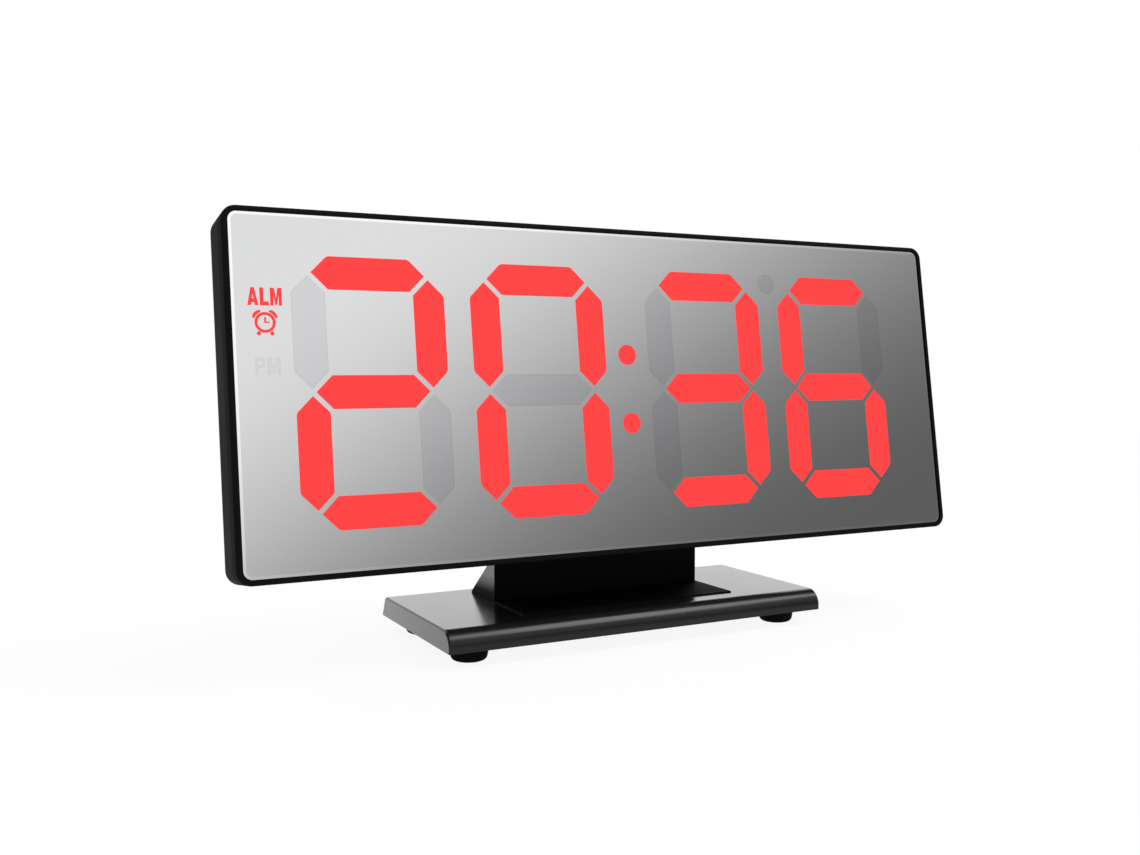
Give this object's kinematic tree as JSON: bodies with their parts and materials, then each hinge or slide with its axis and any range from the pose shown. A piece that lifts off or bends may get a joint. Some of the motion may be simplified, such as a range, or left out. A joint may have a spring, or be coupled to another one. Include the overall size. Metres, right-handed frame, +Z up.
{
  "type": "digital led desk clock",
  "caption": "Desk clock with a mirror face that leans back on a low stand, red seven-segment display, push buttons and a battery door behind.",
  "frame": {"origin": "on the table top, under the centre of the base plate", "axes": "+X to the right of the face, +Y to the back, +Z up"},
  "size_m": [0.1928, 0.0464, 0.1001],
  "materials": {
    "gloss_black": "glossy moulded",
    "matte_black": "fine moulded texture",
    "button_grey": "satin moulded",
    "mirror_face": "polished mirror coat",
    "lit_red": "lit diffuser",
    "dark_lens": "unlit diffuser",
    "foot_rubber": "matte rubber",
    "screw_steel": "zinc plated",
    "contact_steel": "nickel plated",
    "socket_black": "moulded",
    "board_green": "solder mask",
    "reflector_white": "white moulded",
    "tape_black": "foam tape",
    "can_metal": "drawn can",
    "sensor_bead": "epoxy bead",
    "cell_wrap": "printed sleeve"
  },
  "bodies": {
    "clock": {"base_plate": "gloss_black", "base_screws": "screw_steel", "battery_cells": "cell_wrap", "board_screws": "screw_steel", "buzzer": "socket_black", "colon_dots": "lit_red", "contact_bridges": "contact_steel", "contact_terminals": "contact_steel", "controller_chip": "socket_black", "crystal": "can_metal", "degree_dot": "dark_lens", "diffuser_film": "reflector_white", "display_board": "board_green", "driver_chips": "socket_black", "foot_front_left": "foot_rubber", "foot_front_right": "foot_rubber", "foot_rear_left": "foot_rubber", "foot_rear_right": "foot_rubber", "front_bezel": "gloss_black", "housing_screws": "screw_steel", "lit_segments": "lit_red", "mirror_panel": "mirror_face", "mirror_tape": "tape_black", "neck_bracket": "matte_black", "neck_screws": "screw_steel", "power_socket_insulator": "socket_black", "power_socket_shell": "contact_steel", "rear_cover": "matte_black", "segment_leds": "reflector_white", "segment_reflector": "reflector_white", "smoothing_capacitor": "can_metal", "switch_bodies": "can_metal", "switch_plungers": "socket_black", "temperature_sensor": "sensor_bead", "unlit_segments": "dark_lens"},
    "set_button": {"set_button": "button_grey"},
    "up_button": {"up_button": "button_grey"},
    "down_button": {"down_button": "button_grey"},
    "alarm_button": {"alarm_button": "button_grey"},
    "snooze_button": {"snooze_button": "button_grey"},
    "battery_door": {"battery_door": "matte_black"}
  },
  "joints": [
    {"name": "set_button_press", "type": "slide", "parent": "clock", "child": "set_button", "axis": [0, -0.9895, 0.1444], "range_m": [0, 0.0005], "stiffness_N_per_m": 900},
    {"name": "up_button_press", "type": "slide", "parent": "clock", "child": "up_button", "axis": [0, -0.9895, 0.1444], "range_m": [0, 0.0005], "stiffness_N_per_m": 900},
    {"name": "down_button_press", "type": "slide", "parent": "clock", "child": "down_button", "axis": [0, -0.9895, 0.1444], "range_m": [0, 0.0005], "stiffness_N_per_m": 900},
    {"name": "alarm_button_press", "type": "slide", "parent": "clock", "child": "alarm_button", "axis": [0, -0.9895, 0.1444], "range_m": [0, 0.0005], "stiffness_N_per_m": 900},
    {"name": "snooze_button_press", "type": "slide", "parent": "clock", "child": "snooze_button", "axis": [0, -0.9895, 0.1444], "range_m": [0, 0.0005], "stiffness_N_per_m": 900},
    {"name": "battery_door_slide", "type": "slide", "parent": "clock", "child": "battery_door", "axis": [0, 0.1444, 0.9895], "range_m": [0, 0.039]}
  ]
}
